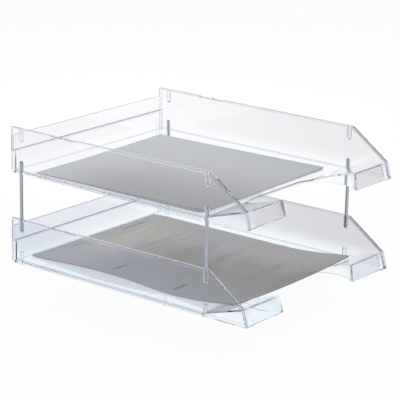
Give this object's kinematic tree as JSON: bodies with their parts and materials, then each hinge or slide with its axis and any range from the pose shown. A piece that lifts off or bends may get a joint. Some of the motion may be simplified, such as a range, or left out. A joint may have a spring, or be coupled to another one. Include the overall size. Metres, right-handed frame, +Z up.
{
  "type": "letter tray stack",
  "caption": "Clear letter trays stacked on metal riser rods, each with a ramped open front, a curved cut-out and loose sheets inside.",
  "frame": {"origin": "bottom centre of the whole stack, on the surface that it stands on", "axes": "+Z up, -Y towards the open front, +Y towards the back walls, X across the trays"},
  "size_m": [0.2772, 0.348, 0.164],
  "materials": {
    "clear_plastic": "clear, water-white, high gloss",
    "riser_steel": "bright drawn",
    "printed_paper": null,
    "grey_paper": "matt, plain"
  },
  "bodies": {
    "lower_tray": {"lower_tray": "clear_plastic"},
    "riser_front_left": {"riser_front_left": "riser_steel"},
    "riser_front_right": {"riser_front_right": "riser_steel"},
    "riser_rear_left": {"riser_rear_left": "riser_steel"},
    "riser_rear_right": {"riser_rear_right": "riser_steel"},
    "upper_tray": {"upper_tray": "clear_plastic"},
    "lower_sheets": {"lower_sheets": "printed_paper"},
    "upper_sheets": {"upper_sheets": "grey_paper"}
  },
  "joints": [
    {"name": "riser_front_left_lift", "type": "slide", "parent": "lower_tray", "child": "riser_front_left", "axis": [0, 0, 1], "range_m": [0, 0.03]},
    {"name": "riser_front_right_lift", "type": "slide", "parent": "lower_tray", "child": "riser_front_right", "axis": [0, 0, 1], "range_m": [0, 0.03]},
    {"name": "riser_rear_left_lift", "type": "slide", "parent": "lower_tray", "child": "riser_rear_left", "axis": [0, 0, 1], "range_m": [0, 0.03]},
    {"name": "riser_rear_right_lift", "type": "slide", "parent": "lower_tray", "child": "riser_rear_right", "axis": [0, 0, 1], "range_m": [0, 0.03]},
    {"name": "upper_tray_lift", "type": "slide", "parent": "riser_front_left", "child": "upper_tray", "axis": [0, 0, 1], "range_m": [0, 0.03]},
    {"name": "lower_sheets_slide", "type": "slide", "parent": "lower_tray", "child": "lower_sheets", "axis": [0, -0.9602, 0.2793], "range_m": [0, 0.35]},
    {"name": "upper_sheets_slide", "type": "slide", "parent": "upper_tray", "child": "upper_sheets", "axis": [0, -0.9602, 0.2793], "range_m": [0, 0.34]}
  ],
  "couplings": [
    {"joint": "riser_front_right_lift", "follows": "riser_front_left_lift", "ratio": 1},
    {"joint": "riser_rear_left_lift", "follows": "riser_front_left_lift", "ratio": 1},
    {"joint": "riser_rear_right_lift", "follows": "riser_front_left_lift", "ratio": 1}
  ]
}
